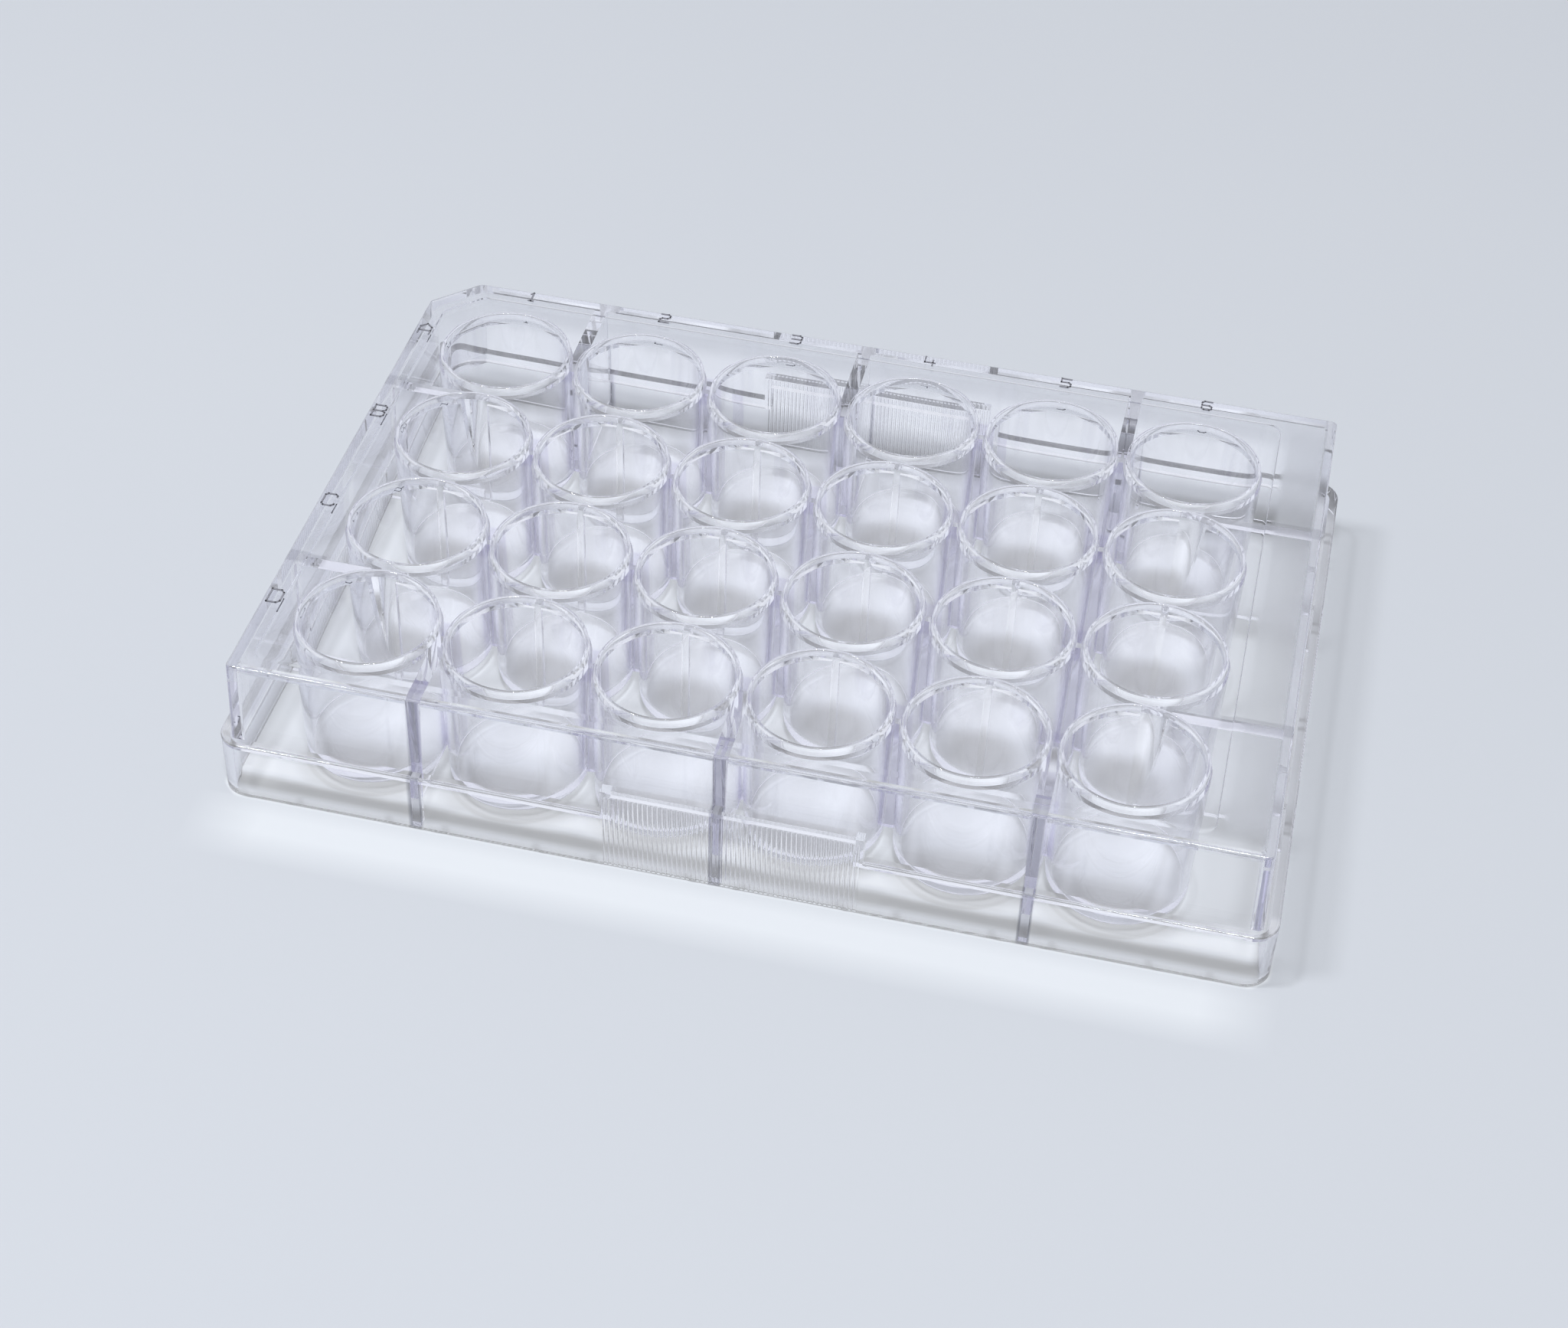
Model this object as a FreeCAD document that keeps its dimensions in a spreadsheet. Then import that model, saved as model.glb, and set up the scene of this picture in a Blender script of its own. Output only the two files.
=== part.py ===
"""A clear 24-well culture plate: one injection moulding of polystyrene, 4 rows by 6 columns.

The plate is a shell, open underneath. A skirt carries a narrower box, and the box is closed by a deck.
Twenty-four tubes with floors hang from the deck. Thin webs join each tube to its neighbours, and ribs
join the outermost tubes to the walls. The long sides have a fluted grip, and the short sides a fluted
field on the skirt.

Frame: origin on the table at the middle of the skirt's foot, +X along the plate towards column 6,
+Y across it towards row A, +Z up. Millimetres.
"""
import FreeCAD, Part
import math
import os
import re

import Sketcher
from FreeCAD import Vector

# Each line: name, value, what it is. Lengths are in millimetres and angles in degrees.
SIZES = [
    ("foot_length", 127.76, "length of the skirt's foot, the standard microplate footprint"),
    ("foot_width", 85.48, "width of the skirt's foot"),
    ("foot_corner", 3.18, "outer radius of the skirt's corners"),
    ("skirt_height", 8.4, "top of the ledge round the box"),
    ("ledge_end", 1.78, "width of the ledge on the short sides"),
    ("ledge_side", 1.34, "width of the ledge on the long sides"),
    ("ledge_round", 0.35, "rounding of the ledge's outer edge"),
    ("wall", 1.1, "thickness of the skirt and of the box's walls"),
    ("deck_height", 19.9, "top of the box"),
    ("deck_thickness", 1.1, "thickness of the deck"),
    ("draft_angle", 1.5, "draft of the box's walls"),
    ("box_corner", 0.6, "rounding of the box's upright edges"),
    ("box_round", 0.3, "rounding of the box's top edge"),
    ("corner_cut", 5.5, "cut corner beside well A1"),
    ("field_depth", 0.25, "how far the field of the wells is sunk in the deck"),
    ("field_left", 2.5, "deck border left of the field"),
    ("field_right", 7.0, "deck border right of the field"),
    ("field_front", 1.95, "deck border in front of the field"),
    ("field_back", 2.9, "deck border behind the field"),
    ("field_corner", 2.0, "corner radius of the field"),
    ("rows", 4, "wells across the plate"),
    ("columns", 6, "wells along the plate"),
    ("pitch", 18.5, "distance between the wells' axes, both ways"),
    ("grid_across", -1.85, "middle of the grid of wells, along X"),
    ("grid_back", -1.6, "middle of the grid of wells, along Y"),
    ("mouth_radius", 8.2, "radius of a well at its mouth"),
    ("well_taper", 0.35, "how much smaller that radius is at the well's floor"),
    ("rim_rise", 0.9, "how far the rims stand above the deck"),
    ("rim_width", 0.58, "width of a rim's flat top"),
    ("rim_flare", 0.28, "how much wider a rim is at its foot"),
    ("floor_height", 2.8, "height of a well's floor"),
    ("floor_round", 0.4, "rounding between a well's floor and its wall"),
    ("tube_wall", 0.8, "thickness of a well's wall"),
    ("tube_foot", 1.5, "underside of a well's bottom"),
    ("tube_round", 0.7, "rounding of a tube's lower edge"),
    ("web_thickness", 0.9, "thickness of the webs between tubes"),
    ("web_foot", 2.5, "lower edge of the webs"),
    ("rib_thickness", 1.5, "thickness of the ribs between the tubes and the walls"),
    ("rib_foot", 4.1, "lower edge of those ribs"),
    ("root_thickness", 1.0, "thickness of a rib's root, inside the skirt"),
    ("grip_length", 31.5, "length of the grip on each long side"),
    ("grip_height", 12.2, "top of the grip"),
    ("end_grip_length", 31.5, "length of the fluted part of the skirt on each short side"),
    ("flute_pitch", 0.595, "distance between flutes"),
    ("flute_depth", 0.18, "depth of a flute"),
    ("flute_width", 0.46, "width of a flute at the surface"),
    ("flute_margin", 0.7, "plain edge of a grip round its flutes"),
]
NAMES = [name for name, value, note in SIZES]

# Places worked out from the sizes: the box's half length and half width at the ledge, the outermost
# wells' axes, the levels under the deck and the ledge and on top of the rims, and the shape of a well.
BOX_END = "(foot_length / 2 - ledge_end)"
BOX_SIDE = "(foot_width / 2 - ledge_side)"
FIRST_COLUMN = "(grid_across - (columns - 1) / 2 * pitch)"
FIRST_ROW = "(grid_back - (rows - 1) / 2 * pitch)"
LAST_COLUMN = "(grid_across + (columns - 1) / 2 * pitch)"
LAST_ROW = "(grid_back + (rows - 1) / 2 * pitch)"
DECK_UNDERSIDE = "(deck_height - deck_thickness)"
LEDGE_UNDERSIDE = "(skirt_height - wall)"
RIM_TOP = "(deck_height + rim_rise)"
FLOOR_RADIUS = "(mouth_radius - well_taper)"
WELL_SLOPE = f"(well_taper / ({RIM_TOP} - floor_height))"
FLUTE_RADIUS = "((flute_width ^ 2 / 4 + flute_depth ^ 2) / (2 * flute_depth))"


def formula(text):
    """The text with each size's name spelt as a cell of the sheet, for setExpression."""
    return re.sub(r"[a-z_]+", lambda word: "Sizes." + word[0] if word[0] in NAMES else word[0], text)


def make_sheet(doc):
    """The sheet of driving sizes: a note, a number and an alias on each row."""
    sheet = doc.addObject("Spreadsheet::Sheet", "Sizes")
    for row, (name, value, note) in enumerate(SIZES, start=1):
        sheet.set(f"A{row}", note)
        sheet.set(f"B{row}", str(value))
        sheet.setAlias(f"B{row}", name)
    doc.recompute()
    return sheet


def origin_part(body, role):
    """The origin plane or axis of a body that plays the given role, such as XY_Plane."""
    return next(part for part in body.Origin.OriginFeatures if part.Role == role)


def level_sketch(body, name, level):
    """An empty sketch that lies flat at the given level."""
    sketch = body.newObject("Sketcher::SketchObject", name)
    sketch.AttachmentSupport = (origin_part(body, "XY_Plane"), [""])
    sketch.MapMode = "FlatFace"
    sketch.setExpression("AttachmentOffset.Base.z", formula(level))
    body.Document.recompute()
    return sketch


def axis_sketch(body, name, place_x, place_y):
    """An empty upright sketch whose own vertical axis stands at the given place on the plan."""
    sketch = body.newObject("Sketcher::SketchObject", name)
    sketch.AttachmentSupport = (origin_part(body, "XZ_Plane"), [""])
    sketch.MapMode = "FlatFace"
    sketch.setExpression("AttachmentOffset.Base.x", formula(place_x))
    sketch.setExpression("AttachmentOffset.Base.z", formula(f"-1 * {place_y}"))
    body.Document.recompute()
    return sketch


def pin(sketch, geometry, point, place):
    """Holds one point of a sketch's geometry at a place given by two formulas."""
    for kind, text in zip(("DistanceX", "DistanceY"), place):
        value = sketch.evalExpression(formula(text))
        number = sketch.addConstraint(Sketcher.Constraint(kind, -1, 1, geometry, point, value))
        sketch.setExpression(f"Constraints[{number}]", formula(text))


def spot_of(sketch, place):
    """The point that a pair of formulas gives."""
    return Vector(*(sketch.evalExpression(formula(text)) for text in place))


def hold_radius(sketch, geometry, radius):
    """Ties the radius of a circle or an arc to a formula."""
    size = sketch.evalExpression(formula(radius))
    number = sketch.addConstraint(Sketcher.Constraint("Radius", geometry, size))
    sketch.setExpression(f"Constraints[{number}]", formula(radius))


def add_polygon(sketch, corners):
    """Adds a closed outline of straight lines through corners given by formulas."""
    spots = [spot_of(sketch, corner) for corner in corners]
    sides = [Part.LineSegment(spot, spots[(number + 1) % len(spots)]) for number, spot in enumerate(spots)]
    close_outline(sketch, sides, corners)


def add_turned_outline(sketch, corners, radius):
    """Adds an outline to be turned about its own vertical axis.

    Its first side lies level, from the axis out to the wall, and the corner there is a quarter round.
    """
    (axis, foot), (wall, foot) = corners[:2]
    rounded = [(axis, foot), (f"{wall} - {radius}", foot), (wall, f"{foot} + {radius}"), *corners[2:]]
    spots = [spot_of(sketch, corner) for corner in rounded]
    sides = [Part.LineSegment(spot, spots[(number + 1) % len(spots)]) for number, spot in enumerate(spots)]
    centre = Vector(spots[1].x, spots[2].y)
    circle = Part.Circle(centre, Vector(0, 0, 1), spots[2].y - spots[1].y)
    sides[1] = Part.ArcOfCircle(circle, -math.pi / 2, 0)
    first = sketch.GeometryCount
    close_outline(sketch, sides, rounded)
    hold_radius(sketch, first + 1, radius)


def close_outline(sketch, sides, corners):
    """Joins the sides end to end, and pins the start of each at its corner."""
    first = sketch.GeometryCount
    sketch.addGeometry(sides)
    for number, corner in enumerate(corners):
        following = first + (number + 1) % len(corners)
        sketch.addConstraint(Sketcher.Constraint("Coincident", first + number, 2, following, 1))
        pin(sketch, first + number, 1, corner)


def add_box(sketch, left, front, right, back):
    """Adds a rectangle given by its four sides."""
    add_polygon(sketch, [(left, front), (right, front), (right, back), (left, back)])


def add_circle(sketch, place, radius):
    """Adds a circle with its centre at a place given by two formulas."""
    size = sketch.evalExpression(formula(radius))
    number = sketch.addGeometry(Part.Circle(spot_of(sketch, place), Vector(0, 0, 1), size))
    pin(sketch, number, 3, place)
    hold_radius(sketch, number, radius)


def pad(body, name, sketch, length, draft="0"):
    """Fills a sketch upwards. A positive draft narrows it towards the top."""
    feature = body.newObject("PartDesign::Pad", name)
    feature.Profile = sketch
    feature.setExpression("Length", formula(length))
    feature.setExpression("TaperAngle", formula(f"-1 * ({draft})"))
    return finish(body, feature)


def pocket(body, name, sketch, length, upwards=False, draft="0"):
    """Cuts a sketch out of the body. A positive draft narrows the cut away from its sketch."""
    feature = body.newObject("PartDesign::Pocket", name)
    feature.Profile = sketch
    feature.Reversed = upwards
    feature.setExpression("Length", formula(length))
    feature.setExpression("TaperAngle", formula(f"-1 * ({draft})"))
    return finish(body, feature)


def finish(body, feature):
    """Makes the feature the body's tip and works the document out."""
    body.Tip = feature
    body.Document.recompute()
    return feature


def turn(body, name, kind, sketch):
    """Revolves or grooves a sketch about its own vertical axis."""
    feature = body.newObject(kind, name)
    feature.Profile = sketch
    feature.ReferenceAxis = (sketch, ["V_Axis"])
    feature.Angle = 360
    return finish(body, feature)


def soften(body, name, edges, radius):
    """Rounds edges of the body's present tip."""
    base = body.Tip
    feature = body.newObject("PartDesign::Fillet", name)
    feature.Base = (base, edges)
    feature.setExpression("Radius", formula(radius))
    return finish(body, feature)


def edges_where(shape, test):
    """The names of a shape's edges whose bounding box passes the test."""
    return [f"Edge{number}" for number, edge in enumerate(shape.Edges, start=1) if test(edge.BoundBox)]


def repeat(body, name, feature, rows_of=(), mirror=None):
    """Repeats a feature in rows along the origin's axes, then mirrors it in an origin plane.

    Each row is the axis's role, the formula for the row's whole length and the number of copies.
    """
    group = body.newObject("PartDesign::MultiTransform", name)
    group.Originals = [feature]
    steps = []
    for number, (axis, length, copies) in enumerate(rows_of):
        row = body.newObject("PartDesign::LinearPattern", f"{name}Row{number}")
        row.Direction = (origin_part(body, axis), [""])
        row.setExpression("Length", formula(length))
        row.setExpression("Occurrences", formula(copies))
        steps.append(row)
    if mirror:
        copy = body.newObject("PartDesign::Mirrored", f"{name}Mirror")
        copy.MirrorPlane = (origin_part(body, mirror), [""])
        steps.append(copy)
    group.Transformations = steps
    return finish(body, group)


def box_outline(end, side, cut):
    """Plan of the box: a rectangle of half sizes `end` and `side` with the corner beside A1 cut off."""
    return [
        (f"-1 * {end}", f"-1 * {side}"),
        (end, f"-1 * {side}"),
        (end, side),
        (f"-1 * {end} + {cut}", side),
        (f"-1 * {end}", f"{side} - {cut}"),
    ]


def outer_shape(body):
    """The skirt and the box as solid blocks, with their edges rounded."""
    foot = level_sketch(body, "FootPlan", "0")
    add_box(foot, "-foot_length / 2", "-foot_width / 2", "foot_length / 2", "foot_width / 2")
    skirt = pad(body, "Skirt", foot, "skirt_height")
    soften(body, "SkirtCorners", edges_where(skirt.Shape, stands), "foot_corner")
    ledge_edges = edges_where(body.Tip.Shape, lambda box: box.ZMin > SHEET.skirt_height - 0.01)
    soften(body, "LedgeEdge", ledge_edges, "ledge_round")

    box_plan = level_sketch(body, "BoxPlan", "skirt_height")
    add_polygon(box_plan, box_outline(BOX_END, BOX_SIDE, "corner_cut"))
    box = pad(body, "Box", box_plan, "deck_height - skirt_height", draft="draft_angle")
    upright = edges_where(box.Shape, lambda edge: stands(edge) and edge.ZMax > SHEET.skirt_height + 1)
    soften(body, "BoxCorners", upright, "box_corner")
    top_edges = edges_where(body.Tip.Shape, lambda edge: edge.ZMin > SHEET.deck_height - 0.01)
    soften(body, "BoxEdge", top_edges, "box_round")


def stands(box):
    """Whether a bounding box is much taller than it is wide, as an upright edge's is."""
    return box.ZLength > 4 * max(box.XLength, box.YLength, 0.01)


def grips(body):
    """The block of the grip on each long side."""
    plan = level_sketch(body, "GripPlan", "0")
    inner = f"({BOX_SIDE} - wall / 2)"
    add_box(plan, "-grip_length / 2", "-foot_width / 2", "grip_length / 2", f"-1 * {inner}")
    add_box(plan, "-grip_length / 2", inner, "grip_length / 2", "foot_width / 2")
    pad(body, "Grips", plan, "grip_height")


def flutes(body):
    """Upright flutes: on both grips, and on the skirt's short sides up to the ledge."""
    gaps = "floor((grip_length - 2 * flute_margin - flute_width) / flute_pitch)"
    plan = level_sketch(body, "SideFlutePlan", "flute_margin")
    outside = f"-foot_width / 2 - {FLUTE_RADIUS} + flute_depth"
    add_circle(plan, (f"-1 * {gaps} / 2 * flute_pitch", outside), FLUTE_RADIUS)
    cut = pocket(body, "SideFlute", plan, "grip_height - 2 * flute_margin", upwards=True)
    row = ("X_Axis", f"{gaps} * flute_pitch", f"{gaps} + 1")
    repeat(body, "SideFlutes", cut, [row], mirror="XZ_Plane")

    gaps = "floor((end_grip_length - flute_width) / flute_pitch)"
    plan = level_sketch(body, "EndFlutePlan", "flute_margin")
    outside = f"-foot_length / 2 - {FLUTE_RADIUS} + flute_depth"
    add_circle(plan, (outside, f"-1 * {gaps} / 2 * flute_pitch"), FLUTE_RADIUS)
    cut = pocket(body, "EndFlute", plan, "skirt_height", upwards=True)
    row = ("Y_Axis", f"{gaps} * flute_pitch", f"{gaps} + 1")
    repeat(body, "EndFlutes", cut, [row], mirror="YZ_Plane")


def sunk_field(body):
    """The shallow field of the deck that the wells stand in, with the same corner cut as the box."""
    plan = level_sketch(body, "FieldPlan", "deck_height")
    deck_end = f"({BOX_END} - (deck_height - skirt_height) * tan(draft_angle))"
    deck_side = f"({BOX_SIDE} - (deck_height - skirt_height) * tan(draft_angle))"
    left, right = f"-1 * {deck_end} + field_left", f"{deck_end} - field_right"
    front, back = f"-1 * {deck_side} + field_front", f"{deck_side} - field_back"
    cut = "(corner_cut - field_corner / 2)"
    corners = [(left, front), (right, front), (right, back), (f"{left} + {cut}", back), (left, f"{back} - {cut}")]
    add_polygon(plan, corners)
    field = pocket(body, "Field", plan, "field_depth")
    floor = SHEET.deck_height - SHEET.field_depth
    corner_edges = edges_where(
        field.Shape,
        lambda edge: edge.ZMin > floor - 0.01 and edge.ZLength > SHEET.field_depth / 2,
    )
    soften(body, "FieldCorners", corner_edges, "field_corner")


def hollow(body):
    """The space under the plate: inside the skirt, inside the box and behind the grips."""
    skirt_end, skirt_side = "(foot_length / 2 - wall)", "(foot_width / 2 - wall)"
    plan = level_sketch(body, "SkirtHollowPlan", "0")
    add_box(plan, f"-1 * {skirt_end}", f"-1 * {skirt_side}", skirt_end, skirt_side)
    cut = pocket(body, "SkirtHollow", plan, LEDGE_UNDERSIDE, upwards=True)
    inside = SHEET.foot_width / 2 - SHEET.wall / 2
    corner_edges = edges_where(
        cut.Shape,
        lambda edge: stands(edge) and edge.ZMin < 0.01 and abs(edge.YMax) < inside and edge.XLength < 0.01
        and abs(abs(edge.XMax) - SHEET.foot_length / 2 + SHEET.wall) < 0.01,
    )
    soften(body, "SkirtHollowCorners", corner_edges, "foot_corner - wall")

    plan = level_sketch(body, "BoxHollowPlan", LEDGE_UNDERSIDE)
    outline = box_outline(f"({BOX_END} - wall)", f"({BOX_SIDE} - wall)", "(corner_cut - wall / 2)")
    add_polygon(plan, outline)
    height = f"{DECK_UNDERSIDE} - {LEDGE_UNDERSIDE}"
    pocket(body, "BoxHollow", plan, height, upwards=True, draft="draft_angle")

    plan = level_sketch(body, "GripHollowPlan", "0")
    end, inner = "(grip_length / 2 - wall)", f"({BOX_SIDE} - 2 * wall)"
    add_box(plan, f"-1 * {end}", f"-1 * {skirt_side}", end, f"-1 * {inner}")
    add_box(plan, f"-1 * {end}", inner, end, skirt_side)
    pocket(body, "GripHollow", plan, "grip_height - wall", upwards=True)


def webs_and_ribs(body):
    """The webs between the tubes, and the ribs that tie the outermost tubes to the walls."""
    columns, rows = int(SHEET.columns), int(SHEET.rows)
    up_to_deck = "deck_height - deck_thickness / 2"

    plan = level_sketch(body, "RowWebPlan", "web_foot")
    for row in range(rows):
        middle = f"({FIRST_ROW} + {row} * pitch)"
        add_box(plan, FIRST_COLUMN, f"{middle} - web_thickness / 2", LAST_COLUMN, f"{middle} + web_thickness / 2")
    pad(body, "RowWebs", plan, f"{up_to_deck} - web_foot")

    plan = level_sketch(body, "ColumnWebPlan", "web_foot")
    for column in range(columns):
        middle = f"({FIRST_COLUMN} + {column} * pitch)"
        add_box(plan, f"{middle} - web_thickness / 2", FIRST_ROW, f"{middle} + web_thickness / 2", LAST_ROW)
    pad(body, "ColumnWebs", plan, f"{up_to_deck} - web_foot")

    into_end, into_side = f"({BOX_END} - wall * 3 / 4)", f"({BOX_SIDE} - wall * 3 / 4)"
    side_places = [f"({FIRST_COLUMN} + {column + 0.5} * pitch)" for column in range(0, columns, 2)]
    end_places = [f"({FIRST_ROW} + {row + 0.5} * pitch)" for row in range(0, rows, 2)]
    plan = level_sketch(body, "RibPlan", "rib_foot")
    for middle in side_places:
        left, right = f"{middle} - rib_thickness / 2", f"{middle} + rib_thickness / 2"
        add_box(plan, left, f"-1 * {into_side}", right, FIRST_ROW)
        add_box(plan, left, LAST_ROW, right, into_side)
    for middle in end_places:
        front, back = f"{middle} - rib_thickness / 2", f"{middle} + rib_thickness / 2"
        add_box(plan, f"-1 * {into_end}", front, FIRST_COLUMN, back)
        add_box(plan, LAST_COLUMN, front, into_end, back)
    pad(body, "Ribs", plan, f"{up_to_deck} - rib_foot")

    skirt_end, skirt_side = "(foot_length / 2 - wall / 2)", "(foot_width / 2 - wall / 2)"
    root_end, root_side = f"({BOX_END} - wall)", f"({BOX_SIDE} - wall)"
    low, high = (level_sketch(body, name, "0") for name in ("RootPlan", "GripRootPlan"))
    for middle in side_places:
        in_grip = abs(low.evalExpression(formula(middle))) < SHEET.grip_length / 2
        plan = high if in_grip else low
        left, right = f"{middle} - root_thickness / 2", f"{middle} + root_thickness / 2"
        add_box(plan, left, f"-1 * {skirt_side}", right, f"-1 * {root_side}")
        add_box(plan, left, root_side, right, skirt_side)
    for middle in end_places:
        front, back = f"{middle} - root_thickness / 2", f"{middle} + root_thickness / 2"
        add_box(low, f"-1 * {skirt_end}", front, f"-1 * {root_end}", back)
        add_box(low, root_end, front, skirt_end, back)
    pad(body, "RibRoots", low, "skirt_height - wall / 2")
    if high.GeometryCount:
        pad(body, "GripRoots", high, "grip_height - wall / 2")


def wells(body):
    """The tubes with their rims, one made and then repeated, and the wells bored in them."""
    rows_of = [
        ("X_Axis", "(columns - 1) * pitch", "columns"),
        ("Y_Axis", "(rows - 1) * pitch", "rows"),
    ]
    foot_radius = f"({FLOOR_RADIUS} + tube_wall - {WELL_SLOPE} * (floor_height - tube_foot))"
    deck_radius = f"({foot_radius} + {WELL_SLOPE} * ({DECK_UNDERSIDE} - tube_foot))"
    profile = axis_sketch(body, "TubeProfile", FIRST_COLUMN, FIRST_ROW)
    tube_outline = [
        ("0", "tube_foot"),
        (foot_radius, "tube_foot"),
        (deck_radius, DECK_UNDERSIDE),
        ("mouth_radius + rim_width + rim_flare", "deck_height - field_depth"),
        ("mouth_radius + rim_width", RIM_TOP),
        ("0", RIM_TOP),
    ]
    add_turned_outline(profile, tube_outline, "tube_round")
    tube = turn(body, "Tube", "PartDesign::Revolution", profile)
    repeat(body, "Tubes", tube, rows_of)

    profile = axis_sketch(body, "BoreProfile", FIRST_COLUMN, FIRST_ROW)
    bore_outline = [
        ("0", "floor_height"),
        (FLOOR_RADIUS, "floor_height"),
        (f"mouth_radius + {WELL_SLOPE} * rim_rise", f"{RIM_TOP} + rim_rise"),
        ("0", f"{RIM_TOP} + rim_rise"),
    ]
    add_turned_outline(profile, bore_outline, "floor_round")
    bore = turn(body, "Bore", "PartDesign::Groove", profile)
    repeat(body, "Bores", bore, rows_of)


def check(doc, pieces):
    """Stops the build if any object failed or a piece's shape isn't one sound solid."""
    for thing in doc.Objects:
        if "Invalid" in thing.State or "Error" in thing.State:
            raise RuntimeError(f"{thing.Label} failed: {thing.State}")
    for piece in pieces:
        if piece.Shape.isNull() or not piece.Shape.isValid() or len(piece.Shape.Solids) != 1:
            raise RuntimeError(f"{piece.Label} isn't one sound solid")


DOC = FreeCAD.newDocument("WellPlate")
SHEET = make_sheet(DOC)
PLATE = DOC.addObject("PartDesign::Body", "WellPlateBody")
PLATE.Label = "well_plate"
PLATE.Placement = FreeCAD.Placement()
for step in (outer_shape, grips, sunk_field, hollow, webs_and_ribs, wells, flutes):
    step(PLATE)
    solid = PLATE.Tip.Shape
    print(f"{step.__name__}: volume {solid.Volume:.0f} cubic mm, {len(solid.Faces)} faces")

check(DOC, [PLATE])
os.makedirs("parts", exist_ok=True)
PLATE.Shape.exportStep(f"parts/{PLATE.Label}.step")
bounds = PLATE.Shape.optimalBoundingBox()
print(f"{PLATE.Label}: {bounds.XLength:.2f} x {bounds.YLength:.2f} x {bounds.ZLength:.2f} mm")
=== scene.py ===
# %% [markdown]
# # A clear 24-well plate
#
# A culture plate of this kind is one shot of clear polystyrene: a skirt, a narrower box on it, a flat
# deck, and twenty-four wells that hang from the deck. Everything that the eye reads in it is an edge,
# because the walls themselves are clear. So the lesson builds one closed, watertight mesh with true
# wall thickness and softly rounded edges, gives it real refraction, and lets the light do most of the
# drawing. Some shade is painted on the plastic, and the light and shade that the plate throws are
# painted on the table.
#
# The frame comes first. It holds the plate's real size, and every size below starts from it.

# %% Load the frame
import math

import bpy
import numpy as np
from mathutils import Matrix, Vector


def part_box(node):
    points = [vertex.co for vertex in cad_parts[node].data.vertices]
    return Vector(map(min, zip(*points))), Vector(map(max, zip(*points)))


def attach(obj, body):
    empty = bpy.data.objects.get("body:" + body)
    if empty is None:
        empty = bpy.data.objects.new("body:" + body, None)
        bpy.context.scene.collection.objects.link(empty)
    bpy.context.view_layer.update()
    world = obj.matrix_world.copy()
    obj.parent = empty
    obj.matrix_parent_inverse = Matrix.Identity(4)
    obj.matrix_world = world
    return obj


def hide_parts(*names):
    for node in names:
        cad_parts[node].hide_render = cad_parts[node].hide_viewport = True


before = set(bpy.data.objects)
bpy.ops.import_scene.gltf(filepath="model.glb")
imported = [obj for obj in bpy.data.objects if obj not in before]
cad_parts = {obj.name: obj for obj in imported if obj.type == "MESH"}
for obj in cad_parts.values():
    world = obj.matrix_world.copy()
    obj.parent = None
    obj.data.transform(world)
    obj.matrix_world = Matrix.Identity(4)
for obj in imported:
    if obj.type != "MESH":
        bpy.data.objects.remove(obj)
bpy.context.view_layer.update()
MM = 0.001
LOW, HIGH = (np.array(corner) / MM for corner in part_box("well_plate"))
FOOT_X, FOOT_Y, TOP = HIGH[0], HIGH[1], HIGH[2]
print(f"foot {2 * FOOT_X:.2f} x {2 * FOOT_Y:.2f} mm, rims at {TOP:.2f} mm")

# %% [markdown]
# ## The sizes of the moulding
#
# A mould maker works from a few levels and a few offsets: how wide the ledge is, how thick the walls
# are, how far apart the wells stand. They are named once here, in millimetres, and everything after is
# worked out from them.

# %% Levels, walls and the grid of wells
WALL = 1.1
DRAFT = 0.3                    # how much narrower the box is at the deck than at the ledge, on each side
DECK = TOP - 0.9               # top of the deck
DECK_UNDER = DECK - 1.1
LEDGE = 8.4
BOX_X, BOX_Y = FOOT_X - 1.78, FOOT_Y - 1.34      # half sizes of the box at the ledge
FIELD_DEPTH = 0.25
PITCH, ROWS, COLUMNS = 18.5, 4, 6
GRID_X, GRID_Y = -1.85, -1.6
COLUMN_X = GRID_X + (np.arange(COLUMNS) - (COLUMNS - 1) / 2) * PITCH
ROW_Y = GRID_Y + ((ROWS - 1) / 2 - np.arange(ROWS)) * PITCH     # row A first
MOUTH, FLOOR_RADIUS, WELL_FLOOR, TUBE_FOOT = 8.2, 7.85, 2.8, 1.5
GRIP_X, GRIP_TOP = 15.75, 12.2
print("columns at", COLUMN_X.round(2), "rows at", ROW_Y.round(2))

# %% [markdown]
# ## Rings, lofts and turned shapes
#
# Two kinds of surface make almost everything here. A **loft** is a stack of closed rings, each a plan
# outline at some height. A **turned** shape is a loft whose rings are circles. Both are worked out as
# whole arrays of points.

# %% Outlines and lofts
def unit(vectors):
    """Each vector divided by its length."""
    return vectors / np.linalg.norm(vectors, axis=-1, keepdims=True)


def rounded_outline(corners, radii, steps=7):
    """A closed plan outline, anticlockwise, with an arc of its own radius at each corner.

    An arc's centre is on its corner's bisector, radius / sin(half the corner's angle) away from the corner.
    The arc's points turn evenly from one side's direction to the next one's.
    """
    corners = np.asarray(corners, float)
    radii = np.broadcast_to(np.asarray(radii, float), len(corners))
    back = unit(np.roll(corners, 1, axis=0) - corners)
    ahead = unit(np.roll(corners, -1, axis=0) - corners)
    half = np.arccos(np.clip((back * ahead).sum(axis=1), -1, 1)) / 2
    centres = corners + unit(back + ahead) * (radii / np.sin(half))[:, None]
    first = corners + back * (radii / np.tan(half))[:, None] - centres
    start = np.arctan2(first[:, 1], first[:, 0])[:, None]
    angles = start + np.linspace(0, 1, steps) * (np.pi - 2 * half)[:, None]
    arcs = np.stack([np.cos(angles), np.sin(angles)], axis=-1) * radii[:, None, None]
    return (centres[:, None] + arcs).reshape(-1, 2)


def at_height(outline, height):
    """A plan outline as a ring of points at one height."""
    return np.column_stack([outline, np.full(len(outline), height)])


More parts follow.
